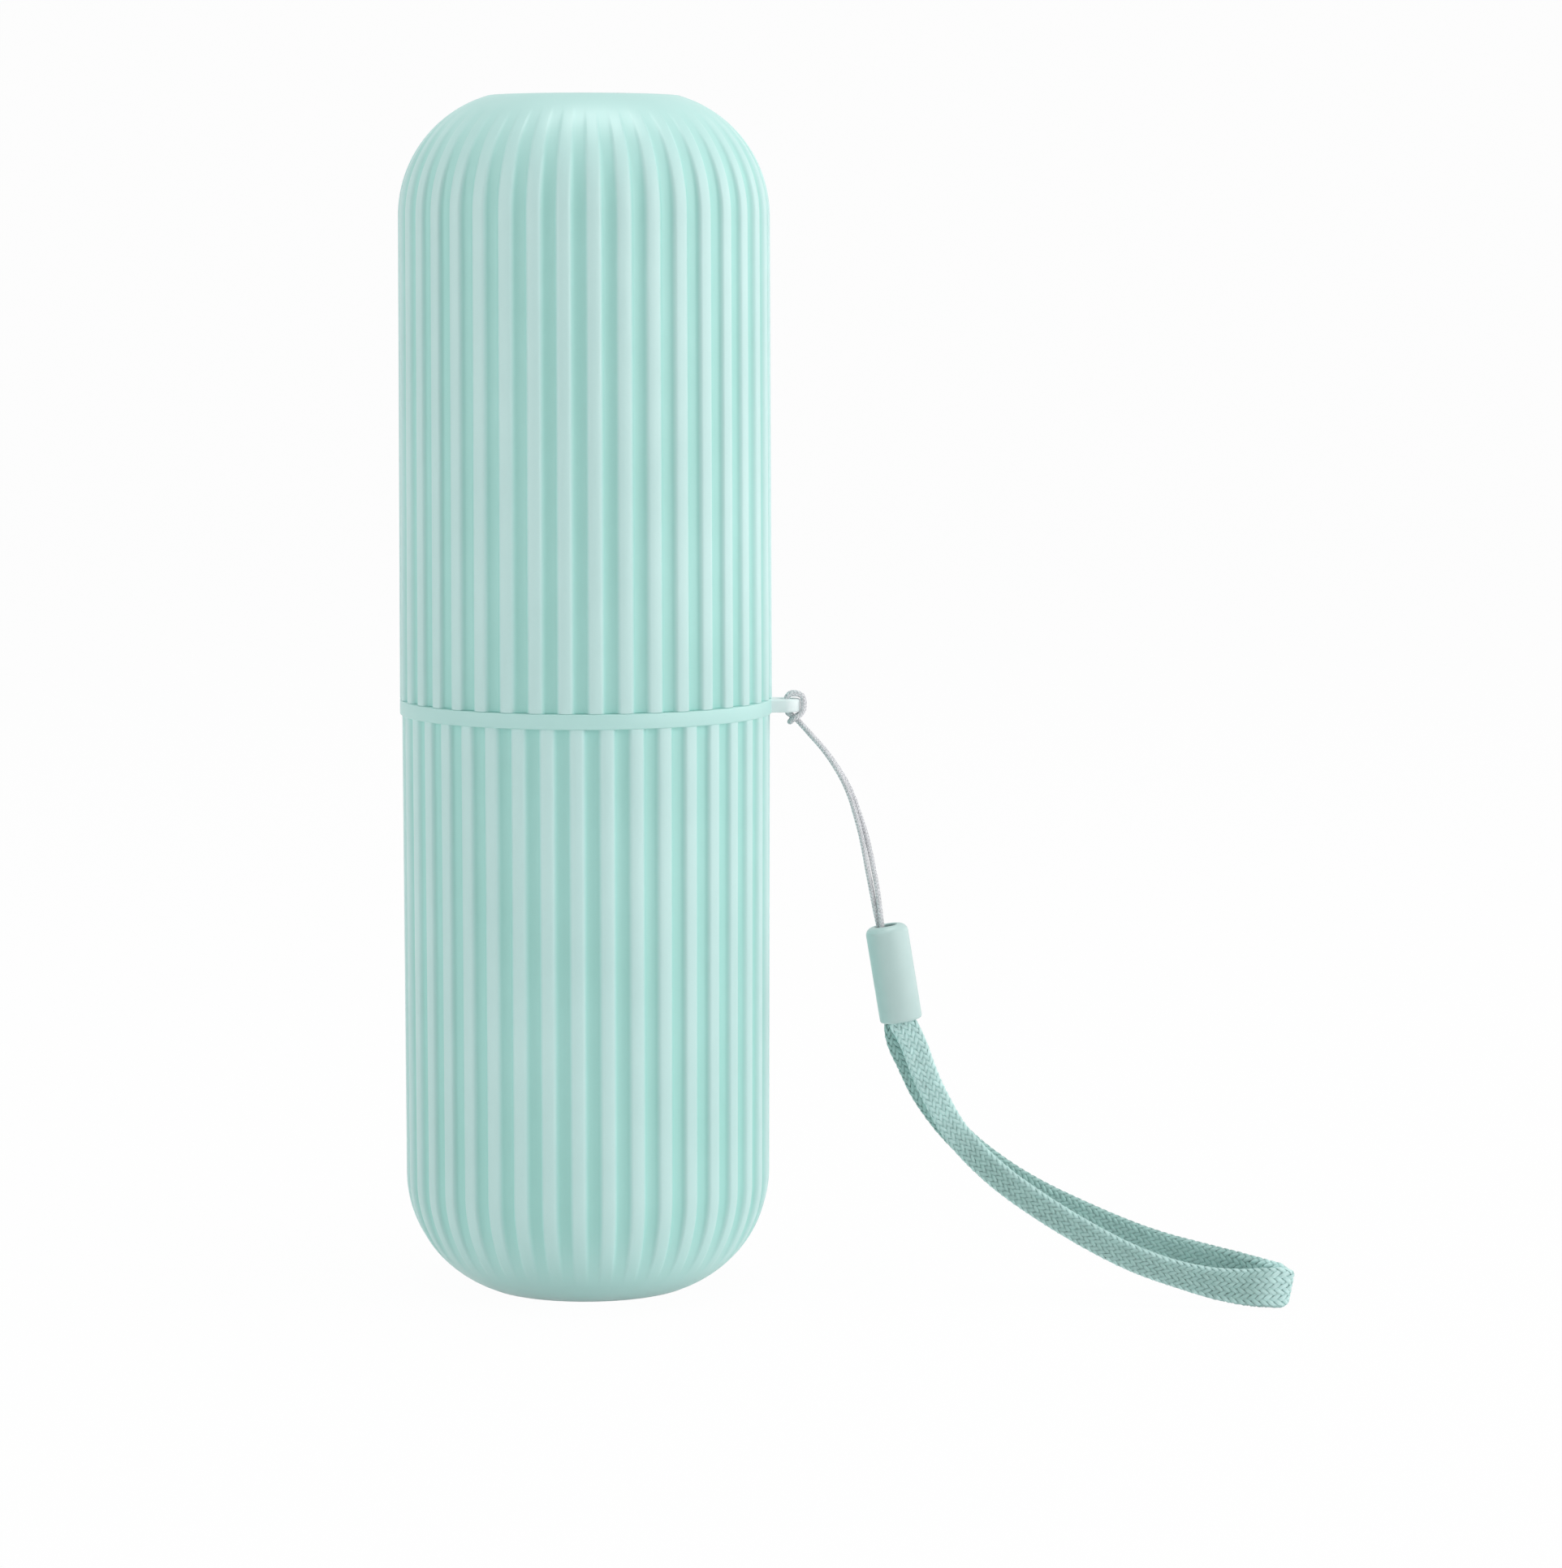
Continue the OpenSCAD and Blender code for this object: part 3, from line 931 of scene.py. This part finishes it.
def add_sweep():
    """A pale floor that curves up into the backdrop, nearly white where the camera sees it."""
    half_w = 1.6
    bend = 0.5
    far = 2.2
    top = 2.4
    white_share = 0.97
    rows = [(-half_w, 0.0), (far, 0.0)]
    steps = 16
    for i in range(1, steps + 1):
        a = math.pi / 2 * i / steps
        rows.append((far + bend * math.sin(a), bend * (1 - math.cos(a))))
    rows.append((far + bend, top))
    points = [(x, y, z) for y, z in rows for x in (-half_w, half_w)]
    faces = [(2 * i, 2 * i + 1, 2 * i + 3, 2 * i + 2) for i in range(len(rows) - 1)]
    material, tree, shader = new_material("paper")
    shader.inputs["Base Color"].default_value = (0.86, 0.86, 0.86, 1)
    shader.inputs["Roughness"].default_value = 0.9
    white = tree.nodes.new("ShaderNodeEmission")
    white.inputs["Strength"].default_value = 1
    mix = tree.nodes.new("ShaderNodeMixShader")
    share = tree.nodes.new("ShaderNodeMath")
    share.operation = "MULTIPLY"
    share.inputs[1].default_value = white_share
    tree.links.new(add_seen(tree), share.inputs[0])
    tree.links.new(share.outputs[0], mix.inputs["Fac"])
    tree.links.new(shader.outputs[0], mix.inputs[1])
    tree.links.new(white.outputs[0], mix.inputs[2])
    tree.links.new(mix.outputs[0], tree.nodes["Material Output"].inputs["Surface"])
    add_mesh("paper_sweep", points, faces, material)


def add_world():
    """White where it is seen, and a soft fill light for everything else."""
    ambient = 0.29
    world = bpy.data.worlds.new("studio")
    bpy.context.scene.world = world
    world.use_nodes = True
    tree = world.node_tree
    background = tree.nodes["Background"]
    background.inputs["Color"].default_value = (1, 1, 1, 1)
    strength = tree.nodes.new("ShaderNodeMapRange")
    strength.inputs["To Min"].default_value = ambient
    strength.inputs["To Max"].default_value = 1
    tree.links.new(add_seen(tree), strength.inputs["Value"])
    tree.links.new(strength.outputs["Result"], background.inputs["Strength"])


def add_lamps():
    """Soft round lamps that face the middle of the case: where, how wide in metres, how many watts."""
    middle = Vector((0.03, 0, 0.1))
    lamps = (
        ("right", (1.08, -0.55, 0.25), 1.4, 12),
        ("rim", (1.0, 0.5, 0.3), 0.7, 1.8),
        ("left", (-1.0, -0.5, 0.2), 1.4, 7.4),
        ("top", (0.1, 0.05, 1.3), 0.7, 6.6),
    )
    for name, place, size, power in lamps:
        data = bpy.data.lights.new(name, "AREA")
        data.shape = "DISK"
        data.size = size
        data.energy = power
        lamp = bpy.data.objects.new(name, data)
        lamp.location = place
        lamp.rotation_euler = (middle - Vector(place)).to_track_quat("-Z", "Y").to_euler()
        bpy.context.scene.collection.objects.link(lamp)


make_camera()
string_yarn = yarn(
    "string_yarn",
    low=srgb(202, 203, 206),
    high=srgb(222, 223, 226),
    pale=(1, 1, 1, 1),
    # Painted shade: how much darker the string is on faces turned inwards
    inner=(0.97, 0.97, 0.97, 1),
    grain=9000,
)
strap_yarn = yarn(
    "strap_yarn",
    low=srgb(132, 169, 164),
    high=srgb(163, 197, 192),
    # Painted light: how much lighter the strap is where its pale mark lies
    pale=(1.6, 1.46, 1.5, 1),
    # Painted fill light: how much lighter the strap is on faces turned inwards
    inner=(1.1, 1.12, 1.12, 1),
    grain=5200,
)
ferrule_plastic = plain_plastic(
    "ferrule_plastic", low=srgb(183, 208, 205), high=srgb(189, 212, 210)
)
tab_plastic = plain_plastic("tab_plastic", low=srgb(225, 237, 237), high=srgb(229, 240, 240))
string, string_line = add_string(string_yarn)
strap, strap_line = add_strap(strap_yarn)
plastic = case_plastic()
add_lid(plastic)
add_base(plastic)
add_eye_tab(tab_plastic)
ferrule = add_ferrule(ferrule_plastic)
add_sweep()
add_world()
add_lamps()
bpy.context.scene.view_settings.view_transform = "Standard"
